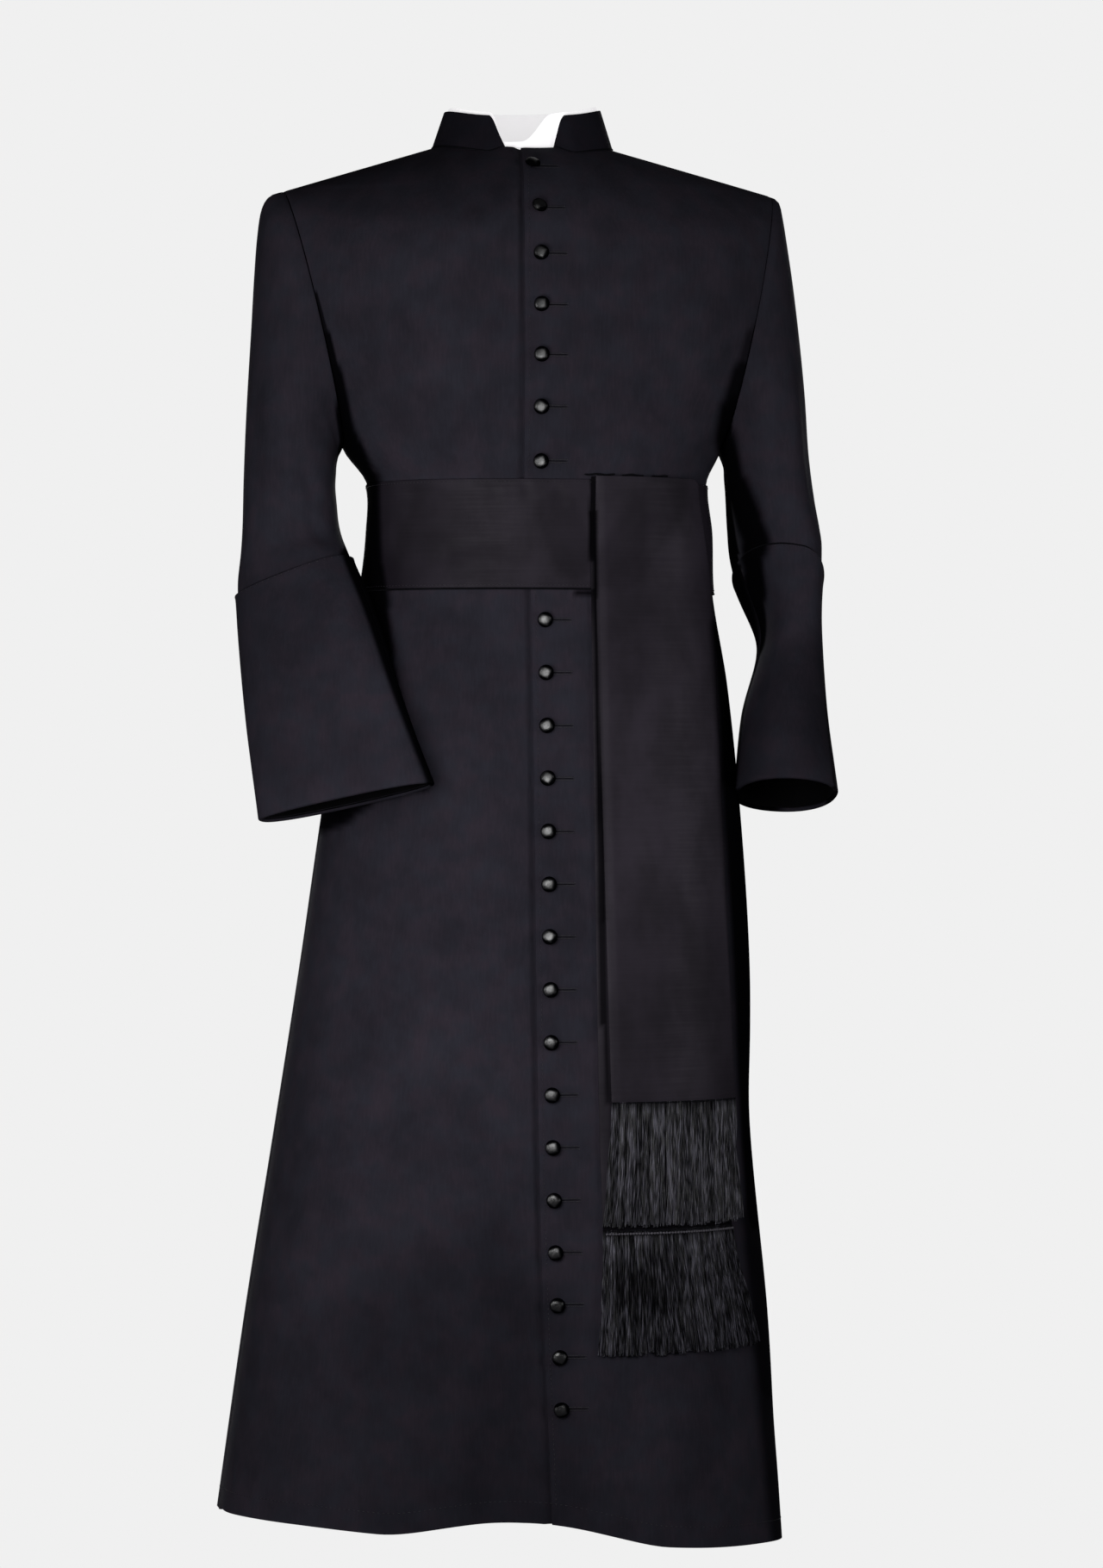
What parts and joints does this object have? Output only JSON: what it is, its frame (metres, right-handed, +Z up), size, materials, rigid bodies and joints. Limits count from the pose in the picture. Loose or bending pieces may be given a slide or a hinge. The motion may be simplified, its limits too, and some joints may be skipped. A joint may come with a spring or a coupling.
{
  "type": "cassock",
  "caption": "Full-length black cassock filled out as worn, with a buttoned front, standing collar over a white neckband, turned-back cuffs, and a sash with two fringed streamers.",
  "frame": {"origin": "middle of the neck opening, level with the side neck seams", "axes": "+Z up, the front faces -Y, +X is the wearer's left"},
  "size_m": [0.6411, 0.4516, 1.5043],
  "materials": {
    "black_cloth": "matt black wool cloth",
    "black_silk": "dull black silk",
    "fringe_silk": "glossy black silk strands",
    "button_cloth": "black silk over a domed button",
    "white_linen": "starched white linen"
  },
  "bodies": {
    "root": {"back_left": "black_cloth", "back_right": "black_cloth", "button_01": "button_cloth", "button_02": "button_cloth", "button_03": "button_cloth", "button_04": "button_cloth", "button_05": "button_cloth", "button_06": "button_cloth", "button_07": "button_cloth", "button_08": "button_cloth", "button_09": "button_cloth", "button_10": "button_cloth", "button_11": "button_cloth", "button_12": "button_cloth", "button_13": "button_cloth", "button_14": "button_cloth", "button_15": "button_cloth", "button_16": "button_cloth", "button_17": "button_cloth", "button_18": "button_cloth", "button_19": "button_cloth", "button_20": "button_cloth", "button_21": "button_cloth", "button_22": "button_cloth", "button_23": "button_cloth", "collar": "black_cloth", "cuff_left": "black_cloth", "cuff_right": "black_cloth", "fringe_lower": "fringe_silk", "fringe_upper": "fringe_silk", "front_left": "black_cloth", "front_right": "black_cloth", "neckband": "white_linen", "sash": "black_silk", "sleeve_left": "black_cloth", "sleeve_right": "black_cloth", "streamer_lower": "black_silk", "streamer_upper": "black_silk"}
  },
  "joints": []
}
